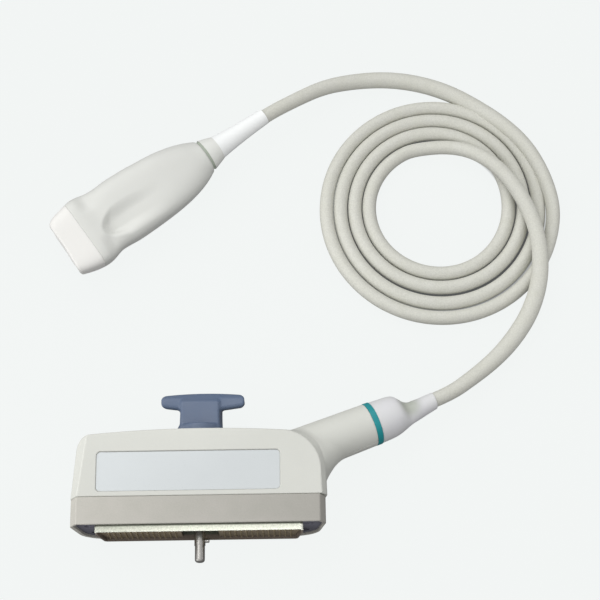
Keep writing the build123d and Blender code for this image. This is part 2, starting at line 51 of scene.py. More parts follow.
def row(p):
    return tuple((np.asarray(p, float) + LAYOUT) / 1000.0)


# ---------------------------------------------------------------- camera
TARGET = Vector((0.035355, 0.02125, 0.0))
CAM_AT = Vector((0.035355, -0.32075, 0.940))
ROLL = math.radians(0.9)
cam_data = bpy.data.cameras.new("photo_camera")
cam_data.lens = 100.0
cam_data.sensor_width = 36.0
cam_data.clip_start = 0.01
cam_data.clip_end = 20.0
cam = bpy.data.objects.new("photo_camera", cam_data)
scene.collection.objects.link(cam)
aim = (TARGET - CAM_AT).to_track_quat("-Z", "Y").to_matrix().to_4x4()
cam.matrix_world = Matrix.Translation(CAM_AT) @ aim @ Matrix.Rotation(-ROLL, 4, "Z")
scene.camera = cam

# ---------------------------------------------------------------- cable
# the route's points from part.py (layout millimetres), with the coil's turns between them
LEAD = [
    (-35.41, 104.23, 15.04), (-19.23, 115.98, 14.9), (-1.1, 126.9, 13.0), (16.9, 137.3, 9.8),
    (36.8, 142.7, 6.4), (57.08, 144.1, 5.2), (76.83, 140.9, 5.1), (95.2, 134.0, 5.2),
    (111.75, 123.1, 6.4), (126.76, 111.02, 7.9), (139.84, 96.72, 8.6),
]
INTO_COIL = [(149.06, 78.87, 8.4), (154.55, 59.58, 7.0)]
EXIT = [
    (94.54, 97.03, 6.2), (111.41, 88.76, 12.2), (125.69, 75.03, 14.2), (135.73, 58.38, 13.9),
    (142.25, 40.27, 13.8), (144.16, 21.74, 13.8), (142.3, 3.4, 12.8), (136.1, -13.8, 8.9),
    (125.6, -29.3, 6.8), (113.7, -42.0, 7.0), (99.6, -53.5, 8.2), (84.63, -64.28, 10.07),
    (65.35, -72.08, 12.44),
]
# the sleeve is drawn tight in the coil and at the boots, and stands a little fuller between them
LEAD_FULL = [1.0, 1.0, 1.0, 1.05, 1.12, 1.16, 1.16, 1.15, 1.12, 1.08, 1.04]
EXIT_FULL = [0.97, 1.0, 1.03, 1.05, 1.07, 1.1, 1.16, 1.21, 1.2, 1.13, 1.04, 0.99, 0.99]
COIL_C = (85.59, 56.06)
# radius of the turns at right, bottom, left, top of each turn, clockwise and inwards
COIL_R = [68.6, 70.2, 68.3, 67.6, 60.1, 61.0, 59.8, 58.9, 50.9, 51.0, 51.1, 50.2, 42.0, 42.0, 42.4, 41.6]


def smooth(xs, ys, x):
    """Smooth curve through the points (xs, ys), at x."""
    xs, ys, x = np.asarray(xs, float), np.asarray(ys, float), np.asarray(x, float)
    m = np.gradient(ys, xs)
    i = np.clip(np.searchsorted(xs, x) - 1, 0, len(xs) - 2)
    h = xs[i + 1] - xs[i]
    t = (x - xs[i]) / h
    t2, t3 = t * t, t * t * t
    return ((2 * t3 - 3 * t2 + 1) * ys[i] + (t3 - 2 * t2 + t) * h * m[i]
            + (-2 * t3 + 3 * t2) * ys[i + 1] + (t3 - t2) * h * m[i + 1])


turns = []
for k, deg in enumerate(range(10, 1336, 15)):
    r = 1.013 * float(smooth(np.arange(16) * 90.0, COIL_R, deg))
    a = math.radians(deg)
    z = {0: 6.0, 1: 4.9}.get(k, 4.42)
    turns.append((COIL_C[0] + r * math.cos(a), COIL_C[1] - r * math.sin(a), z))

CABLE_D = 0.0087
route = LEAD + INTO_COIL + turns + EXIT
full = LEAD_FULL + [1.0, 0.98] + [0.955] * len(turns) + EXIT_FULL
curve = bpy.data.curves.new("probe_cable", "CURVE")
curve.dimensions = "3D"
spline = curve.splines.new("NURBS")
spline.points.add(len(route) - 1)
for point, at, swell in zip(spline.points, route, full):
    point.co = (*row(at), 1.0)
    point.radius = CABLE_D / 2 * swell
spline.order_u = 3
spline.use_endpoint_u = True
curve.resolution_u = 6
# the points carry the cable's radius, so the curve's own box is right too
curve.bevel_depth = 1.0
curve.bevel_resolution = 9
curve.use_fill_caps = True
cable = bpy.data.objects.new("probe_cable", curve)
scene.collection.objects.link(cable)
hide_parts("cable_lead_probe", "cable_coil", "cable_lead_connector")
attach(cable, "probe")


# ---------------------------------------------------------------- materials
def lin(rgb):
    out = []
    for c in rgb:
        c = c / 255.0
        out.append(c / 12.92 if c <= 0.04045 else ((c + 0.055) / 1.055) ** 2.4)
    return out


def shade(rgb, k):
    return [min(1.0, c * k) for c in lin(rgb)] + [1.0]


def moulded(name, rgb, rough, mottle=0.02, blotch=70.0, grain=0.25, grain_size=0.45, depth=0.03,
            spread=0.05, tint=None, specular=0.5, coat=0.0, metallic=0.0, sss=0.0, edge=0.0, stretch=None,
            speckle=0.0, painted_shade_along_x=None, below=None, root=None, hollow=None):
    """Moulded or coated surface: soft colour mottling, fine grain in the bump, roughness that varies with it,
    convex edges painted a little lighter as a painted highlight with a little wear, and optional painted light and
    shade placed by position."""
    mat = bpy.data.materials.new(name)
    mat.use_nodes = True
    nt = mat.node_tree
    bsdf = nt.nodes["Principled BSDF"]
    where = nt.nodes.new("ShaderNodeTexCoord")
    source = where.outputs["Object"]
    if stretch:
        mapping = nt.nodes.new("ShaderNodeMapping")
        mapping.inputs["Scale"].default_value = stretch
        nt.links.new(source, mapping.inputs["Vector"])
        fine_source = mapping.outputs["Vector"]
    else:
        fine_source = source
    cloud = nt.nodes.new("ShaderNodeTexNoise")
    cloud.inputs["Scale"].default_value = blotch
    cloud.inputs["Detail"].default_value = 4.0
    cloud.inputs["Roughness"].default_value = 0.6
    nt.links.new(source, cloud.inputs["Vector"])
    fine = nt.nodes.new("ShaderNodeTexNoise")
    fine.inputs["Scale"].default_value = 1000.0 / grain_size
    fine.inputs["Detail"].default_value = 2.0
    nt.links.new(fine_source, fine.inputs["Vector"])
    mix = nt.nodes.new("ShaderNodeMix")
    mix.data_type = "RGBA"
    mix.inputs["A"].default_value = shade(rgb, 1.0 - mottle)
    mix.inputs["B"].default_value = shade(tint or rgb, 1.0 + mottle)
    for i in (6, 7):
        mix.inputs[i].default_value = shade(rgb if i == 6 else (tint or rgb), 1.0 + (mottle if i == 7 else -mottle))
    spread_in = nt.nodes.new("ShaderNodeMapRange")
    spread_in.inputs["From Min"].default_value = 0.3
    spread_in.inputs["From Max"].default_value = 0.7
    nt.links.new(cloud.outputs["Fac"], spread_in.inputs["Value"])
    nt.links.new(spread_in.outputs["Result"], mix.inputs["Factor"])
    colour = mix.outputs["Result"]
    for out in mix.outputs:
        if out.type == "RGBA":
            colour = out
    # painted highlight: convex edges painted lighter, with a little wear
    if edge:
        geo = nt.nodes.new("ShaderNodeNewGeometry")
        ridge = nt.nodes.new("ShaderNodeMapRange")
        ridge.inputs["From Min"].default_value = 0.52
        ridge.inputs["From Max"].default_value = 0.60
        ridge.inputs["To Min"].default_value = 0.0
        ridge.inputs["To Max"].default_value = edge
        nt.links.new(geo.outputs["Pointiness"], ridge.inputs["Value"])
        edge_wear_and_highlight = nt.nodes.new("ShaderNodeMix")
        edge_wear_and_highlight.data_type = "RGBA"
        edge_wear_and_highlight.inputs[7].default_value = shade(rgb, 1.25)
        nt.links.new(ridge.outputs["Result"], edge_wear_and_highlight.inputs["Factor"])
        nt.links.new(colour, edge_wear_and_highlight.inputs[6])
        colour = [o for o in edge_wear_and_highlight.outputs if o.type == "RGBA"][0]
    if painted_shade_along_x:
        # painted light and shade: the colour scaled lighter or darker along the row frame's x, from one end of the
        # piece to the other
        parts = nt.nodes.new("ShaderNodeSeparateXYZ")
        nt.links.new(source, parts.inputs["Vector"])
        shade_ramp_x = nt.nodes.new("ShaderNodeMapRange")
        for key, value in zip(("From Min", "From Max", "To Min", "To Max"), painted_shade_along_x):
            shade_ramp_x.inputs[key].default_value = value
        nt.links.new(parts.outputs["X"], shade_ramp_x.inputs["Value"])
        shaded_along_x = nt.nodes.new("ShaderNodeVectorMath")
        shaded_along_x.operation = "SCALE"
        nt.links.new(colour, shaded_along_x.inputs[0])
        nt.links.new(shade_ramp_x.outputs["Result"], shaded_along_x.inputs["Scale"])
        colour = shaded_along_x.outputs["Vector"]
    if below:
        # painted shade: a darker colour under a given height of the row frame, where the piece is sunk in shade
        depth_parts = nt.nodes.new("ShaderNodeSeparateXYZ")
        nt.links.new(source, depth_parts.inputs["Vector"])
        level = nt.nodes.new("ShaderNodeMapRange")
        for key, value in zip(("From Min", "From Max", "To Min", "To Max"), (below[0], below[1], 1.0, 0.0)):
            level.inputs[key].default_value = value
        nt.links.new(depth_parts.outputs["Z"], level.inputs["Value"])
        painted_sunk_shade = nt.nodes.new("ShaderNodeMix")
        painted_sunk_shade.data_type = "RGBA"
        painted_sunk_shade.inputs[7].default_value = shade(below[2], 1.0)
        nt.links.new(level.outputs["Result"], painted_sunk_shade.inputs["Factor"])
        nt.links.new(colour, painted_sunk_shade.inputs[6])
        colour = [o for o in painted_sunk_shade.outputs if o.type == "RGBA"][0]
    if hollow:
        # painted shade: a greyer, darker tone round one point of the row frame, where the piece is waisted and its
        # hollow falls in shade
        away = nt.nodes.new("ShaderNodeVectorMath")
        away.operation = "DISTANCE"
        away.inputs[1].default_value = hollow[0]
        nt.links.new(source, away.inputs[0])
        near = nt.nodes.new("ShaderNodeMapRange")
        near.interpolation_type = "SMOOTHSTEP"
        for key, value in zip(("From Min", "From Max", "To Min", "To Max"), (hollow[1], hollow[2], hollow[4], 0.0)):
            near.inputs[key].default_value = value
        nt.links.new(away.outputs["Value"], near.inputs["Value"])
        painted_hollow_shade = nt.nodes.new("ShaderNodeMix")
        painted_hollow_shade.data_type = "RGBA"
        painted_hollow_shade.inputs[7].default_value = shade(hollow[3], 1.0)
        nt.links.new(near.outputs["Result"], painted_hollow_shade.inputs["Factor"])
        nt.links.new(colour, painted_hollow_shade.inputs[6])
        colour = [o for o in painted_hollow_shade.outputs if o.type == "RGBA"][0]
    if root:
        # painted shadow: a darker tone at the foot of the piece, along the row frame's y
        foot_parts = nt.nodes.new("ShaderNodeSeparateXYZ")
        nt.links.new(source, foot_parts.inputs["Vector"])
        foot = nt.nodes.new("ShaderNodeMapRange")
        for key, value in zip(("From Min", "From Max", "To Min", "To Max"), (root[0], root[1], 0.0, 1.0)):
            foot.inputs[key].default_value = value
        nt.links.new(foot_parts.outputs["Y"], foot.inputs["Value"])
        painted_root_shadow = nt.nodes.new("ShaderNodeMix")
        painted_root_shadow.data_type = "RGBA"
        painted_root_shadow.inputs[7].default_value = shade(root[2], 1.0)
        nt.links.new(foot.outputs["Result"], painted_root_shadow.inputs["Factor"])
        nt.links.new(colour, painted_root_shadow.inputs[6])
        colour = [o for o in painted_root_shadow.outputs if o.type == "RGBA"][0]
    if speckle:
        dots = nt.nodes.new("ShaderNodeMapRange")
        dots.inputs["From Min"].default_value = 0.3
        dots.inputs["From Max"].default_value = 0.7
        dots.inputs["To Min"].default_value = 1.0 - speckle
        dots.inputs["To Max"].default_value = 1.0 + speckle
        nt.links.new(fine.outputs["Fac"], dots.inputs["Value"])
        dotted = nt.nodes.new("ShaderNodeVectorMath")
        dotted.operation = "SCALE"
        nt.links.new(colour, dotted.inputs[0])
        nt.links.new(dots.outputs["Result"], dotted.inputs["Scale"])
        colour = dotted.outputs["Vector"]
    nt.links.new(colour, bsdf.inputs["Base Color"])
    vary = nt.nodes.new("ShaderNodeMapRange")
    vary.inputs["From Min"].default_value = 0.3
    vary.inputs["From Max"].default_value = 0.7
    vary.inputs["To Min"].default_value = max(0.02, rough - spread)
    vary.inputs["To Max"].default_value = min(1.0, rough + spread)
    nt.links.new(fine.outputs["Fac"], vary.inputs["Value"])
    nt.links.new(vary.outputs["Result"], bsdf.inputs["Roughness"])
    if grain:
        bump = nt.nodes.new("ShaderNodeBump")
        bump.inputs["Strength"].default_value = grain
        bump.inputs["Distance"].default_value = depth / 1000.0
        nt.links.new(fine.outputs["Fac"], bump.inputs["Height"])
        nt.links.new(bump.outputs["Normal"], bsdf.inputs["Normal"])
    bsdf.inputs["Metallic"].default_value = metallic
    bsdf.inputs["Specular IOR Level"].default_value = specular
    bsdf.inputs["Coat Weight"].default_value = coat
    bsdf.inputs["Coat Roughness"].default_value = 0.25
    if sss:
        bsdf.inputs["Subsurface Weight"].default_value = sss
        bsdf.inputs["Subsurface Radius"].default_value = (0.002, 0.0016, 0.0012)
        bsdf.inputs["Subsurface Scale"].default_value = 1.0
    return mat


# the waist of the connector's boot, in the row frame, round which its neck is painted in shade
NECK = (0.0968, -0.0508, 0.0178)

M = {
    # cover, band and label carry painted light and shade along x
    "cover_plastic": moulded("cover_plastic", (207, 208, 201), 0.55, 0.012, 60, 0.35, 0.55, 0.03, edge=0.12, speckle=0.012,
                             painted_shade_along_x=(-0.10, 0.04, 0.955, 1.0)),
    "band_plastic": moulded("band_plastic", (188, 186, 177), 0.6, 0.02, 90, 0.4, 0.8, 0.04, tint=(190, 187, 179), edge=0.12,
                            speckle=0.035, painted_shade_along_x=(-0.10, 0.05, 1.0, 0.705)),
    "label_film": moulded("label_film", (204, 209, 210), 0.32, 0.012, 35, 0.06, 0.9, 0.02, coat=0.12,
                          painted_shade_along_x=(-0.08, 0.025, 1.0, 0.955)),
    "handle_plastic": moulded("handle_plastic", (81, 97, 123), 0.42, 0.05, 80, 0.25, 0.5, 0.03, tint=(85, 98, 120), edge=0.2),
    "teal_plastic": moulded("teal_plastic", (10, 138, 144), 0.38, 0.05, 90, 0.15, 0.5, 0.02),
    "cable_jacket": moulded("cable_jacket", (200, 200, 190), 0.7, 0.02, 130, 0.6, 0.8, 0.07, tint=(199, 199, 191), specular=0.35,
                            speckle=0.075),
    "grip_plastic": moulded("grip_plastic", (210, 211, 206), 0.48, 0.01, 50, 0.15, 0.45, 0.02, speckle=0.008),
    "nose_plastic": moulded("nose_plastic", (226, 225, 221), 0.42, 0.008, 50, 0.12, 0.45, 0.02),
    "boot_rubber": moulded("boot_rubber", (240, 242, 241), 0.5, 0.006, 60, 0.15, 0.5, 0.02),
    # connector boot: painted shade round its waisted neck
    "spout_rubber": moulded("spout_rubber", (214, 214, 217), 0.5, 0.01, 60, 0.15, 0.5, 0.02, tint=(213, 214, 213),
                            hollow=(NECK, 0.0025, 0.0100, (174, 178, 168), 0.95)),
    "collar_plastic": moulded("collar_plastic", (221, 222, 217), 0.45, 0.01, 60, 0.15, 0.5, 0.02),
    "seal_rubber": moulded("seal_rubber", (160, 168, 155), 0.65, 0.05, 150, 0.3, 0.5, 0.03),
    "lens_rubber": moulded("lens_rubber", (246, 245, 242), 0.45, 0.006, 80, 0.1, 0.6, 0.02),
    # plated shell: painted shade inside below its rim, a painted shadow at its root, painted light and shade along x
    # and painted highlights on its edges
    "plated_shell": moulded("plated_shell", (247, 254, 232), 0.45, 0.04, 500, 0.35, 0.9, 0.05, tint=(250, 254, 233), metallic=0.0,
                            edge=0.3, speckle=0.13, below=(0.0296, 0.0312, (108, 98, 88)), root=(-0.1224, -0.1216, (84, 87, 74)),
                            painted_shade_along_x=(-0.086, -0.025, 0.66, 1.0)),
    "gasket_rubber": moulded("gasket_rubber", (88, 88, 98), 0.7, 0.08, 150, 0.4, 0.5, 0.04),
    "insulator": moulded("insulator", (124, 112, 92), 0.6, 0.08, 200, 0.3, 0.4, 0.03, speckle=0.08),
    "gold_contact": moulded("gold_contact", (142, 130, 106), 0.4, 0.06, 300, 0.1, 0.3, 0.01, metallic=0.45),
    "bush_brass": moulded("bush_brass", (206, 172, 110), 0.3, 0.05, 200, 0.3, 0.3, 0.01, metallic=1.0),
    "steel": moulded("steel", (176, 174, 170), 0.26, 0.05, 300, 0.3, 0.25, 0.015, metallic=1.0, stretch=(1.0, 0.05, 1.0)),
    "dark_plastic": moulded("dark_plastic", (70, 70, 74), 0.55, 0.05, 120, 0.3, 0.5, 0.03),
    "circuit_board": moulded("circuit_board", (34, 92, 58), 0.4, 0.1, 400, 0.1, 0.3, 0.02, coat=0.3),
    "flex_film": moulded("flex_film", (196, 132, 56), 0.35, 0.06, 200, 0.1, 0.3, 0.02),
    "coax": moulded("coax", (176, 176, 182), 0.5, 0.1, 600, 0.5, 0.4, 0.05),
    "epoxy": moulded("epoxy", (120, 114, 100), 0.5, 0.06, 200, 0.2, 0.4, 0.03),
    "piezo_ceramic": moulded("piezo_ceramic", (190, 182, 152), 0.45, 0.05, 300, 0.2, 0.3, 0.02),
    "backing": moulded("backing", (60, 60, 60), 0.8, 0.1, 200, 0.4, 0.4, 0.04),
}

NODE_FINISH = {
    "acoustic_lens": "lens_rubber", "matching_layer": "epoxy", "piezo_array": "piezo_ceramic",
    "backing_block": "backing", "probe_board": "circuit_board", "flex_circuit": "flex_film",
    "coax_bundle_probe": "coax", "probe_cable_clamp": "dark_plastic", "tail_seal": "seal_rubber",
    "tail_collar": "collar_plastic", "probe_boot": "boot_rubber", "cable_lead_probe": "cable_jacket",
    "cable_coil": "cable_jacket", "cable_lead_connector": "cable_jacket", "front_cover": "cover_plastic",
    "rear_cover": "cover_plastic", "cover_screws": "steel", "label_plate": "label_film",
    "lower_band": "band_plastic", "face_gasket": "gasket_rubber", "pin_shell": "plated_shell",
    "contact_insulators": "insulator", "contact_pins": "gold_contact", "lock_housing": "dark_plastic",
    "shaft_bush_lower": "bush_brass", "shaft_bush_upper": "bush_brass", "interface_board": "circuit_board",
    "board_standoffs": "bush_brass", "shell_screws": "steel", "board_screws": "steel",
    "spout_ring": "teal_plastic", "connector_boot": "spout_rubber", "coax_bundle_connector": "coax",
    "cable_clamp": "dark_plastic", "lock_shaft": "steel", "shaft_cross_pin": "steel", "shaft_clip": "steel",
    "t_handle": "handle_plastic", "handle_set_screw": "steel", "grip_shell_upper": "grip_plastic",
    "grip_shell_lower": "grip_plastic", "nose_housing": "nose_plastic",
}
for name, obj in nodes.items():
    obj.data.materials.clear()
    obj.data.materials.append(M[NODE_FINISH[name]])
curve.materials.append(M["cable_jacket"])


# ---------------------------------------------------------------- mesh helpers
def piece(name, verts_mm, faces, finish, body, replaced, normals=None, sharp=38.0):
    mesh = bpy.data.meshes.new(name)
    mesh.from_pydata((np.asarray(verts_mm) / 1000.0).tolist(), [], [list(map(int, f)) for f in faces])
    mesh.validate()
    mesh.polygons.foreach_set("use_smooth", np.ones(len(mesh.polygons), bool))
    if normals is not None:
        mesh.normals_split_custom_set_from_vertices(normals.tolist())
    else:
        mesh.set_sharp_from_angle(angle=math.radians(sharp))
    mesh.materials.append(M[finish])
    mesh.update()
    obj = bpy.data.objects.new(name, mesh)
    scene.collection.objects.link(obj)
    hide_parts(*replaced)
    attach(obj, body)
    return obj


def rmax(a, b, r):
    """Both, with the edge between them rounded to r."""
    return np.minimum(np.maximum(a, b), -r) + np.hypot(np.maximum(a + r, 0), np.maximum(b + r, 0))


def rmin(a, b, r):
    """Either, with the corner between them filled to r."""
    return np.maximum(np.minimum(a, b), r) - np.hypot(np.maximum(r - a, 0), np.maximum(r - b, 0))


def gradient(field, p, e=0.02):
    g = np.empty_like(p)
    for i in range(3):
        d = np.zeros(3)
        d[i] = e
        g[:, i] = (field(p + d) - field(p - d)) / (2 * e)
    return g


def skin(field, lo, hi, h):
    """Surface of field < 0 as quads, on a grid of spacing h, with each point settled onto the surface."""
    lo = np.asarray(lo, float)
    n = np.ceil((np.asarray(hi, float) - lo) / h).astype(int) + 1
    axes = [lo[i] + h * np.arange(n[i]) for i in range(3)]
    grid = np.stack(np.meshgrid(*axes, indexing="ij"), -1).reshape(-1, 3)
    f = field(grid).reshape(n)
    cells = n - 1
    total = int(np.prod(cells))
    acc = np.zeros((total, 3))
    count = np.zeros(total)
    quads = []
    for a in range(3):
        b, c = (a + 1) % 3, (a + 2) % 3
        first, second = [slice(None)] * 3, [slice(None)] * 3
        first[a], second[a] = slice(None, -1), slice(1, None)
        f0, f1 = f[tuple(first)], f[tuple(second)]
        hit = (f0 < 0) != (f1 < 0)
        at = np.argwhere(hit)
        v0, v1 = f0[hit], f1[hit]
        pos = at.astype(float)
        pos[:, a] += v0 / (v0 - v1)
        corner = []
        good = np.ones(len(at), bool)
        for db, dc in ((1, 1), (0, 1), (0, 0), (1, 0)):
            cell = at.copy()
            cell[:, b] -= db
            cell[:, c] -= dc
            ok = np.all((cell >= 0) & (cell < cells), axis=1)
            good &= ok
            flat = (cell[:, 0] * cells[1] + cell[:, 1]) * cells[2] + cell[:, 2]
            for i in range(3):
                acc[:, i] += np.bincount(flat[ok], weights=pos[ok, i], minlength=total)
            count += np.bincount(flat[ok], minlength=total)
            corner.append(flat)
        corner = np.stack(corner, 1)
        outward = v0 < 0
        corner[~outward] = corner[~outward][:, ::-1]
        quads.append(corner[good])
    used = count > 0
    index = np.cumsum(used) - 1
    p = lo + h * acc[used] / count[used][:, None]
    faces = index[np.concatenate(quads)]
    for _ in range(3):
        g = gradient(field, p)
        step = field(p)[:, None] * g / np.maximum((g * g).sum(1), 0.3)[:, None]
        p = p - np.clip(step, -0.5 * h, 0.5 * h)
    g = gradient(field, p, 0.05)
    g /= np.maximum(np.linalg.norm(g, axis=1), 1e-9)[:, None]
    return p, faces, g


def ramp(t):
    t = np.clip(t, 0, 1)
    return t * t * (3 - 2 * t)


def rounded_rect(x, y, a, b, r):
    dx, dy = np.abs(x) - a + r, np.abs(y) - b + r
    return np.hypot(np.maximum(dx, 0), np.maximum(dy, 0)) + np.minimum(np.maximum(dx, dy), 0) - r


def at_connector(p):
    return p + np.array([KX, KY, 0.0])


# ---------------------------------------------------------------- connector covers
HALF, THICK_MM, MID = 70.65, 40.0, 20.0


def housing(side, z, bevel_side=None):
    """Section of the housing: label face, broad bevel, side wall that leans in towards the back, round back edge."""
    wall = np.where(z < 34.0, 0.9874 * (side + 0.16 * (34.0 - z)), side)
    bevel = 0.870 * (side if bevel_side is None else bevel_side) + 0.493 * (z - THICK_MM) + 2.96
    front = rmax(rmax(wall, bevel, 1.2), z - THICK_MM, 0.5)
    return rmax(front, -z, 14.0)


def cover_side(u, v):
    """Outline of the covers at their widest."""
    left = 0.05 * (v - 15.5) - (u + 72.1)
    right = (u - HALF - 1.0) + 0.022 * (v - 15.5)
    top = np.hypot(u - 1.0, v - 54.6 + 705.0) - 705.0
    return rmax(rmax(top, left, 6.5), right, 20.0)


def bevel_side(u, v):
    """Outline that the bevel follows: it widens up the left end and is only a trace along the top edge."""
    left = -0.992 * (u + HALF) + 0.129 * (v - 15.5)
    right = (u - HALF - 1.3) + 0.035 * (v - 15.5)
    top = np.hypot(u - 1.0, v - 54.6 + 705.0) - 707.4
    return rmax(rmax(top, left, 4.8), right, 23.0)


def spout_at(u, v, z):
    turn, dip = math.radians(22.0), math.radians(6.5)
    c, s, ct, st = math.cos(turn), math.sin(turn), math.cos(dip), math.sin(dip)
    du, dv, dz = u - 96.73, v - 60.69, z - 15.7
    t = du * c * ct + dv * s * ct - dz * st
    q = -du * s + dv * c
    w = (du * c + dv * s) * st + dz * ct
    return t, np.hypot(q, w), q


SCREWS = [(-44.0, 32.0), (-16.0, 33.0), (20.0, 33.0), (46.0, 26.0)]


def cover_field(p, front):
    u, v, z = p[:, 0], p[:, 1], p[:, 2]
    side = cover_side(u, v)
    box = housing(side, z, bevel_side(u, v))
    t, rho, q = spout_at(u, v, z)
    spout = rmax(rho - (12.5 - t / 65.0), t, 0.35)
    spout = np.maximum(spout, -58.0 - t)
    # the spout flows into the end wall in a wide fillet on its lower side, and in a small one elsewhere
    level = np.clip((z - 15.7 + 0.114 * t) / 14.5, -1.0, 1.0)
    fillet = 6.0 + 11.0 * np.sqrt(1.0 - level * level) * ramp((3.0 - q) / 12.0)
    f = rmin(box, spout, fillet)
    f = np.maximum(np.maximum(f, z - THICK_MM), -z)
    f = rmax(f, 15.62 - v, 0.45)
    bore = np.maximum(rho - 10.4, -50.0 - t)
    f = np.maximum(f, -np.minimum(box + 2.4, bore))
    f = np.maximum(f, -np.maximum(np.hypot(u, z - MID) - 5.0, 44.0 - v))
    if front:
        f = rmax(f, MID + 0.05 - z, 0.35)
        label = np.maximum(rounded_rect(u + 5.65, v - 29.7, 51.05, 11.2, 2.3), 39.1 - z)
        f = rmax(f, -label, 0.2)
    else:
        f = rmax(f, z - MID + 0.05, 0.35)
        for su, sv in SCREWS:
            r = np.hypot(u - su, v - sv)
            post = np.maximum(r - 3.6, z - 6.0)
            f = np.minimum(f, np.maximum(post, 1.0 - z))
            f = rmax(f, -np.maximum(r - 2.9, z - 2.4), 0.2)
    return f


for front in (True, False):
    span = (19.0, 41.2) if front else (-1.2, 21.0)
    p, faces, g = skin(lambda q: cover_field(q, front), (-73.6, 14.6, span[0]), (104.8, 74.6, span[1]), 0.62)
    piece("cover_front_moulding" if front else "cover_rear_moulding", at_connector(p), faces, "cover_plastic",
          "probe", ["front_cover" if front else "rear_cover"], normals=g)


# ---------------------------------------------------------------- connector band
def band_field(p):
    u, v, z = p[:, 0], p[:, 1], p[:, 2]
    side = np.abs(u) - HALF
    section = housing(side, z)
    # the left end stands a little further out below its bevel
    skin_section = housing(np.maximum(u - HALF, -u - HALF - 1.0), z, side)
    f = rmax(rmax(skin_section, v - 15.5, 0.45), -v, 0.5)
    well = np.maximum(section + 1.6, v - 7.5)
    core = section + 5.2
    return np.maximum(f, -np.minimum(well, core))


p, faces, g = skin(band_field, (-73.2, -1.1, -1.2), (72.0, 16.7, 41.2), 0.52)
piece("band_moulding", at_connector(p), faces, "band_plastic", "probe", ["lower_band"], normals=g)


# ---------------------------------------------------------------- T-handle
def handle_field(p):
    u, v, w = p[:, 0], p[:, 1], p[:, 2] - MID
    crown = np.hypot(u - 2.2, v - 78.9 + 175.0) - 175.0
    ends = np.abs(u - 1.5) - 23.7
    # the underside of the arms is drafted towards the back
    under = 0.96 * (67.8 - v) - 0.25 * (w - 6.8) + 0.133 * (np.abs(u - 1.5) - 12.0)
    slope = 0.62 * (v - 78.9) + 0.785 * (np.abs(w) - 6.8) + 2.5
    bar = rmax(rmax(rmax(crown, ends, 3.0), np.abs(w) - 6.8, 1.2), slope, 1.0)
    bar = rmax(bar, under, 2.8)
    waist = np.abs(u) - 11.7 + 0.07 * np.abs(w) * np.sign(w) - 0.03 * np.maximum(66.6 - v, 0)
    stem = rmax(waist, np.abs(w) - 8.4, 1.5)
    stem = rmax(rmax(stem, v - 74.2, 2.4), 55.9 - v, 0.5)
    f = rmin(bar, stem, 1.6)
    skirt = rmax(rmax(np.hypot(u, w) - 13.25, v - 59.5, 1.4), 54.9 - v, 0.4)
    f = rmin(f, skirt, 1.2)
    f = np.maximum(f, -np.maximum(np.hypot(u, w) - 3.1, v - 68.6))
    return np.maximum(f, -np.maximum(np.hypot(u, v - 63.9) - 1.5, w + 2.0))


p, faces, g = skin(handle_field, (-23.6, 53.9, 5.8), (26.8, 80.4, 34.2), 0.45)
piece("t_handle_moulding", at_connector(p), faces, "handle_plastic", "lock", ["t_handle"], normals=g)

# ---------------------------------------------------------------- handpiece
TURN = math.radians(36.0)
TILT = math.radians(11.0)
ALONG = np.array([math.cos(TURN), math.sin(TURN), 0.0])
LATERAL = np.array([-math.sin(TURN), math.cos(TURN), 0.0])
WIDE = LATERAL * math.cos(TILT) + np.array([0, 0, math.sin(TILT)])
DEEP = np.array([0, 0, math.cos(TILT)]) - LATERAL * math.sin(TILT)
# distance behind the nose, half width, half thickness, squareness, offset of the middle
BODY = np.array([
    (0.6, 17.0, 9.3, 5.2, 0.0), (5.0, 19.0, 9.9, 5.0, 0.5), (10.0, 20.3, 10.6, 4.8, 0.4), (15.5, 21.4, 11.2, 4.4, 0.5),
    (20.0, 21.9, 11.5, 3.8, 0.8), (24.0, 21.5, 11.3, 3.3, 1.0), (27.0, 20.8, 11.2, 3.1, 1.1), (30.0, 20.1, 11.5, 3.1, 1.1),
    (34.0, 19.9, 12.2, 3.2, 0.9), (42.0, 20.3, 13.0, 3.4, 0.75), (54.0, 20.1, 13.3, 3.5, 0.6), (66.0, 19.4, 13.3, 3.4, 0.3),
    (76.0, 18.6, 12.9, 3.2, 0.2), (85.0, 17.2, 12.1, 2.8, 0.05), (93.0, 15.2, 11.0, 2.4, 0.0), (99.0, 12.9, 9.9, 2.1, 0.0),
    (103.4, 10.6, 9.2, 2.0, 0.0)])


def at_handpiece(s, x, y):
    return NOSE_AT + np.multiply.outer(s, ALONG) + np.multiply.outer(x, WIDE) + np.multiply.outer(y, DEEP)


def ring_xy(w, h, k, phi):
    c, s = np.cos(phi), np.sin(phi)
    r = (np.abs(c) ** k + np.abs(s) ** k) ** (-1.0 / k)
    return w * r * c, h * r * s


def body_xy(s, phi, inset=0.0):
    w, h, k = (smooth(BODY[:, 0], BODY[:, i], s) for i in (1, 2, 3))
    return ring_xy(w[:, None] - inset, h[:, None] - inset, k[:, None], phi[None, :])


def thumb(s, x):
    """Depth of the thumb recess: a steep crescent front wall, soft sides, and a floor that runs out towards the tail."""
    across = x + 5.6 + 1.5 * ramp((s - 40.0) / 25.0)
    front = ramp((s - 24.4 - 0.10 * across ** 2) / 6.0)
    upper = 1.0 - ramp((across - 2.4) / 8.0)
    lower = 1.0 - ramp((-across - 2.5) / (5.5 + 3.0 * ramp((s - 30.0) / 10.0)))
    return 4.2 * front * upper * lower * (1.0 - ramp((s - 33.0) / 42.0))


def notch(s, x):
    """Depth of the shallow hollow at each side of the waist."""
    return 1.5 * np.exp(-((s - 26.0) / 4.2) ** 2) * ramp((np.abs(x) - 7.0) / 8.0)


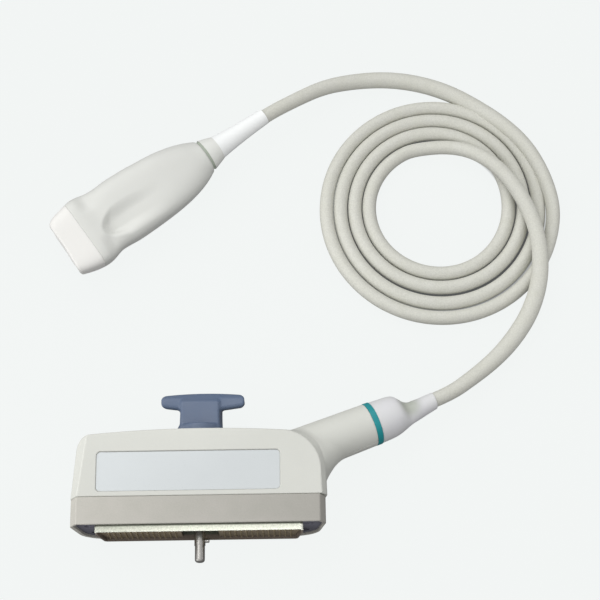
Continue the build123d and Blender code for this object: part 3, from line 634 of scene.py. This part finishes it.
def nose_draft(s, x, y):
    """The front face leans back a little towards its lower edge, and stands further forward on one side."""
    return (0.11 * (9.3 - y) + 0.075 * np.minimum(x, 0.0)) * np.clip(1.0 - s / 9.0, 0.0, 1.0)


def grid_faces(n, m, closed=False, base=0, flip=False):
    cols = m if closed else m - 1
    i, j = np.meshgrid(np.arange(n - 1), np.arange(cols), indexing="ij")
    k = (j + 1) % m
    q = np.stack([i * m + j, i * m + k, (i + 1) * m + k, (i + 1) * m + j], -1).reshape(-1, 4) + base
    return q[:, ::-1] if flip else q


def half_shell(name, upper):
    stations = np.concatenate([[15.5, 15.62, 15.85], np.arange(16.4, 102.6, 0.62), [102.6, 103.0, 103.25, 103.4]])
    inset = np.zeros(len(stations))
    inset[0], inset[1] = 0.22, 0.06
    inset[-1], inset[-2], inset[-3] = 0.7, 0.3, 0.08
    phi = np.linspace(0.0, math.pi, 105) if upper else np.linspace(math.pi, 2 * math.pi, 105)
    # a fine groove along the joint of the two halves
    lip = np.ones(len(phi))
    x, y = body_xy(stations, phi)
    w = smooth(BODY[:, 0], BODY[:, 1], stations)[:, None]
    h = smooth(BODY[:, 0], BODY[:, 2], stations)[:, None]
    x, y = x * (1 - inset[:, None] / w), y * (1 - inset[:, None] / h)
    gap = np.zeros(len(phi))
    gap[0] = gap[-1] = 0.16
    x = x - np.sign(x) * gap[None, :]
    y = y + (0.06 if upper else -0.06) * (gap[None, :] > 0)
    middle = smooth(BODY[:, 0], BODY[:, 4], stations)[:, None]
    along = stations[:, None] + 0 * x
    y = y - notch(along, x) * y / h
    if upper:
        y = y - thumb(along, x + middle)
    outer = at_handpiece(along, x + middle, y)
    xi, yi = x * (1 - 2.4 / w), y * (1 - 2.4 / h)
    inner = at_handpiece(along, xi + middle, yi)
    n, m = x.shape
    verts = np.concatenate([outer.reshape(-1, 3), inner.reshape(-1, 3)])
    off = n * m
    faces = [grid_faces(n, m, flip=True), grid_faces(n, m, base=off)]
    for j, rev in ((0, False), (m - 1, True)):
        i = np.arange(n - 1)
        q = np.stack([i * m + j, (i + 1) * m + j, (i + 1) * m + j + off, i * m + j + off], 1)
        faces.append(q[:, ::-1] if rev else q)
    for i, rev in ((0, True), (n - 1, False)):
        j = np.arange(m - 1)
        q = np.stack([i * m + j, i * m + j + 1, i * m + j + 1 + off, i * m + j + off], 1)
        faces.append(q[:, ::-1] if rev else q)
    node = "grip_shell_upper" if upper else "grip_shell_lower"
    return piece(name, verts, np.concatenate(faces), "grip_plastic", "probe", [node], sharp=50.0)


half_shell("grip_upper_moulding", True)
half_shell("grip_lower_moulding", False)

phi = np.linspace(0, 2 * math.pi, 193)[:-1]


def rings(name, rows, finish, replaced, close_first=False, close_last=False):
    """Closed skin through rows of points, each row one ring."""
    rows = np.array(rows)
    n, m = rows.shape[:2]
    verts = rows.reshape(-1, 3)
    faces = list(grid_faces(n, m, closed=True, flip=True))
    if close_first:
        verts = np.concatenate([verts, rows[0].mean(0)[None]])
        tip = len(verts) - 1
        faces += [(tip, j, (j + 1) % m) for j in range(m)]
    if close_last:
        verts = np.concatenate([verts, rows[-1].mean(0)[None]])
        tip = len(verts) - 1
        faces += [(tip, (n - 1) * m + (j + 1) % m, (n - 1) * m + j) for j in range(m)]
    return piece(name, verts, faces, finish, "probe", replaced, sharp=40.0)


def nose_ring(s, inset, k_shift=0.0):
    w, h, k, middle = (float(smooth(BODY[:, 0], BODY[:, i], max(s, 0.6))) for i in (1, 2, 3, 4))
    x, y = ring_xy(w - inset, h - inset, k + k_shift, phi)
    return at_handpiece(s + nose_draft(s, x, y), x + middle, y)


def window_ring(s, grow, k=6.5):
    x, y = ring_xy(12.0 + grow, 7.25 + grow, k, phi)
    return at_handpiece(s + nose_draft(s, x, y), x, y)


rows = [window_ring(2.6, 0.12), window_ring(0.75, 0.12), window_ring(0.6, 0.3)]
edge_r = 1.5
face = nose_ring(0.6, edge_r)
for f in (0.35, 0.7):
    rows.append(window_ring(0.6, 0.3) * (1 - f) + face * f)
for a in np.linspace(0, 90, 8):
    a = math.radians(a)
    rows.append(nose_ring(0.6 + edge_r * (1 - math.cos(a)), edge_r * (1 - math.sin(a))))
for s in np.arange(2.7, 15.1, 0.65):
    rows.append(nose_ring(s, 0.0))
rows += [nose_ring(15.3, 0.0), nose_ring(15.42, 0.06), nose_ring(15.47, 0.22), nose_ring(15.47, 2.6), nose_ring(3.0, 2.6)]
rings("nose_moulding", rows, "nose_plastic", ["nose_housing"])

lens_rows = [window_ring(2.4, 0.0), window_ring(0.7, 0.0)]
for f in np.linspace(0.0, 1.0, 12)[1:-1]:
    x, y = ring_xy(12.0 * (1 - f), 7.25 * (1 - f), 6.5 - 4.3 * f, phi)
    rise = 0.62 * (1 - np.abs(y / 7.25) ** 2.4) * (1 - np.abs(x / 12.0) ** 8)
    lens_rows.append(at_handpiece(0.68 - rise + nose_draft(0.68, x, y), x, y))
rings("lens_moulding", lens_rows, "lens_rubber", ["acoustic_lens"], close_last=True)

# ---------------------------------------------------------------- connector boot
# distance from the middle of the ring, radius, sag of the middle
BOOT = np.array([
    (3.5, 12.3, 0.0), (9.4, 12.05, 0.0), (13.0, 11.8, -0.1), (16.6, 11.15, -0.25), (18.0, 10.65, -0.2), (19.6, 9.7, 0.2),
    (21.0, 8.7, 0.7), (22.2, 7.85, 1.15), (25.0, 6.5, 1.72), (29.0, 5.95, 1.48), (34.5, 5.4, 0.87), (41.3, 4.95, 0.0)])


def boot_ring(t, r, sag):
    turn, dip = math.radians(22.0), math.radians(6.5)
    c, s, ct, st = math.cos(turn), math.sin(turn), math.cos(dip), math.sin(dip)
    # the neck is a little flatter than it is wide
    q, w = r * np.cos(phi) - sag, r * np.sin(phi) * (1.0 - 0.25 * math.exp(-((t - 24.0) / 3.2) ** 2))
    at = np.array([96.73, 60.69, 15.7]) + t * np.array([c * ct, s * ct, -st])
    return at_connector(at + np.multiply.outer(q, np.array([-s, c, 0.0])) + np.multiply.outer(w, np.array([c * st, s * st, ct])))


rows = [boot_ring(3.32, 4.42, 0.0), boot_ring(3.32, 11.9, 0.0), boot_ring(3.44, 12.2, 0.0)]
for t in np.linspace(3.72, 40.9, 66):
    rows.append(boot_ring(t, float(smooth(BOOT[:, 0], BOOT[:, 1], max(t, 3.5))), float(smooth(BOOT[:, 0], BOOT[:, 2], max(t, 3.5)))))
rows += [boot_ring(41.2, 4.88, 0.0), boot_ring(41.3, 4.74, 0.0), boot_ring(41.3, 4.42, 0.0)]
rows += [boot_ring(t, 4.42, 0.0) for t in np.linspace(40.0, 3.32, 8)]
spout_boot = rings("spout_boot_moulding", rows, "spout_rubber", ["connector_boot"])

# ---------------------------------------------------------------- stage and light
floor_mesh = bpy.data.meshes.new("floor")
S = 6.0
floor_mesh.from_pydata([(-S, -S, -0.0003), (S, -S, -0.0003), (S, S, -0.0003), (-S, S, -0.0003)], [], [(0, 1, 2, 3)])
floor = bpy.data.objects.new("floor", floor_mesh)
scene.collection.objects.link(floor)
floor_mat = bpy.data.materials.new("pale_floor")
floor_mat.use_nodes = True
fb = floor_mat.node_tree.nodes["Principled BSDF"]
fb.inputs["Base Color"].default_value = (0.02, 0.02, 0.02, 1.0)
fb.inputs["Roughness"].default_value = 0.9
fb.inputs["Specular IOR Level"].default_value = 0.0
fb.inputs["Emission Color"].default_value = (*lin((242, 245, 244)), 1.0)
fb.inputs["Emission Strength"].default_value = 0.978
# the floor lies in deep shade where the coil's turns cover it
ft = floor_mat.node_tree
spot = ft.nodes.new("ShaderNodeNewGeometry")
reach = ft.nodes.new("ShaderNodeVectorMath")
reach.operation = "DISTANCE"
reach.inputs[1].default_value = row((*COIL_C, -0.3))
ft.links.new(spot.outputs["Position"], reach.inputs[0])
bounds_of_shade = []
for low, high, a, b in ((0.041, 0.044, 0.0, 1.0), (0.0635, 0.0665, 1.0, 0.0)):
    edge_node = ft.nodes.new("ShaderNodeMapRange")
    for key, value in zip(("From Min", "From Max", "To Min", "To Max"), (low, high, a, b)):
        edge_node.inputs[key].default_value = value
    ft.links.new(reach.outputs["Value"], edge_node.inputs["Value"])
    bounds_of_shade.append(edge_node.outputs["Result"])
under = ft.nodes.new("ShaderNodeMath")
under.operation = "MULTIPLY"
ft.links.new(bounds_of_shade[0], under.inputs[0])
ft.links.new(bounds_of_shade[1], under.inputs[1])
glow = ft.nodes.new("ShaderNodeMapRange")
glow.inputs["To Min"].default_value = 0.978
glow.inputs["To Max"].default_value = 0.10
ft.links.new(under.outputs["Value"], glow.inputs["Value"])
ft.links.new(glow.outputs["Result"], fb.inputs["Emission Strength"])
floor_mesh.materials.append(floor_mat)
floor.visible_diffuse = False
floor.visible_glossy = False

world = bpy.data.worlds.new("studio")
scene.world = world
world.use_nodes = True
wt = world.node_tree
back = wt.nodes["Background"]
coord = wt.nodes.new("ShaderNodeTexCoord")
dot = wt.nodes.new("ShaderNodeVectorMath")
dot.operation = "DOT_PRODUCT"
dot.inputs[1].default_value = Vector((-0.30, 0.05, 0.95)).normalized()
wt.links.new(coord.outputs["Generated"], dot.inputs[0])
ramp_node = wt.nodes.new("ShaderNodeValToRGB")
wt.links.new(dot.outputs["Value"], ramp_node.inputs["Fac"])
spread_node = wt.nodes.new("ShaderNodeMapRange")
spread_node.inputs["From Min"].default_value = -1.0
spread_node.inputs["From Max"].default_value = 1.0
wt.links.new(dot.outputs["Value"], spread_node.inputs["Value"])
wt.links.new(spread_node.outputs["Result"], ramp_node.inputs["Fac"])
el = ramp_node.color_ramp.elements
el[0].position, el[0].color = 0.0, (0.16, 0.16, 0.165, 1)
el[1].position, el[1].color = 1.0, (1.0, 1.0, 1.0, 1)
for at, level in ((0.5, 0.34), (0.7, 0.62), (0.86, 0.93)):
    el.new(at).color = (level, level, level * 1.008, 1)
wt.links.new(ramp_node.outputs["Color"], back.inputs["Color"])
back.inputs["Strength"].default_value = 0.95

sun_data = bpy.data.lights.new("key", "SUN")
sun_data.energy = 0.9
sun_data.angle = math.radians(45)
sun = bpy.data.objects.new("key", sun_data)
scene.collection.objects.link(sun)
sun.matrix_world = Vector((0.36, -0.54, -0.76)).to_track_quat("-Z", "Y").to_matrix().to_4x4()

fill_data = bpy.data.lights.new("fill", "SUN")
fill_data.energy = 0.55
fill_data.angle = math.radians(60)
fill = bpy.data.objects.new("fill", fill_data)
scene.collection.objects.link(fill)
fill.matrix_world = Vector((0.83, 0.40, -0.38)).to_track_quat("-Z", "Y").to_matrix().to_4x4()



def panel(name, at, towards, wide, high, energy):
    """Soft panel light out of the picture, lighting only what it faces."""
    data = bpy.data.lights.new(name, "AREA")
    data.shape = "RECTANGLE"
    data.size, data.size_y = wide, high
    data.energy = energy
    obj = bpy.data.objects.new(name, data)
    scene.collection.objects.link(obj)
    obj.matrix_world = (Matrix.Translation(at)
                        @ (Vector(towards) - Vector(at)).to_track_quat("-Z", "Z").to_matrix().to_4x4())
    obj.visible_camera = False


panel("left_panel", (-0.21, -0.05, 0.045), (0.0, -0.045, 0.035), 0.20, 0.04, 0.09)
panel("right_panel", (0.34, -0.02, 0.09), (0.12, 0.02, 0.0), 0.25, 0.08, 0.085)
# narrow strip of light along the mating face
face_data = bpy.data.lights.new("face_card", "AREA")
face_data.shape = "RECTANGLE"
face_data.size, face_data.size_y = 0.13, 0.008
face_data.energy = 0.0026
face_data.spread = math.radians(14.0)
face_card = bpy.data.objects.new("face_card", face_data)
scene.collection.objects.link(face_card)
face_at, face_to = Vector((-0.0226, -0.170, 0.078)), Vector((-0.0226, -0.1248, 0.0306))
face_z = (face_at - face_to).normalized()
face_y = face_z.cross(Vector((1.0, 0.0, 0.0)))
face_card.matrix_world = Matrix(((1.0, face_y.x, face_z.x, face_at.x), (0.0, face_y.y, face_z.y, face_at.y),
                                 (0.0, face_y.z, face_z.z, face_at.z), (0.0, 0.0, 0.0, 1.0)))
face_card.visible_camera = False
panel("handpiece_card", (0.016, -0.022, 0.10), (-0.062, 0.083, 0.012), 0.10, 0.05, 0.028)

# ---------------------------------------------------------------- update
bpy.context.view_layer.update()
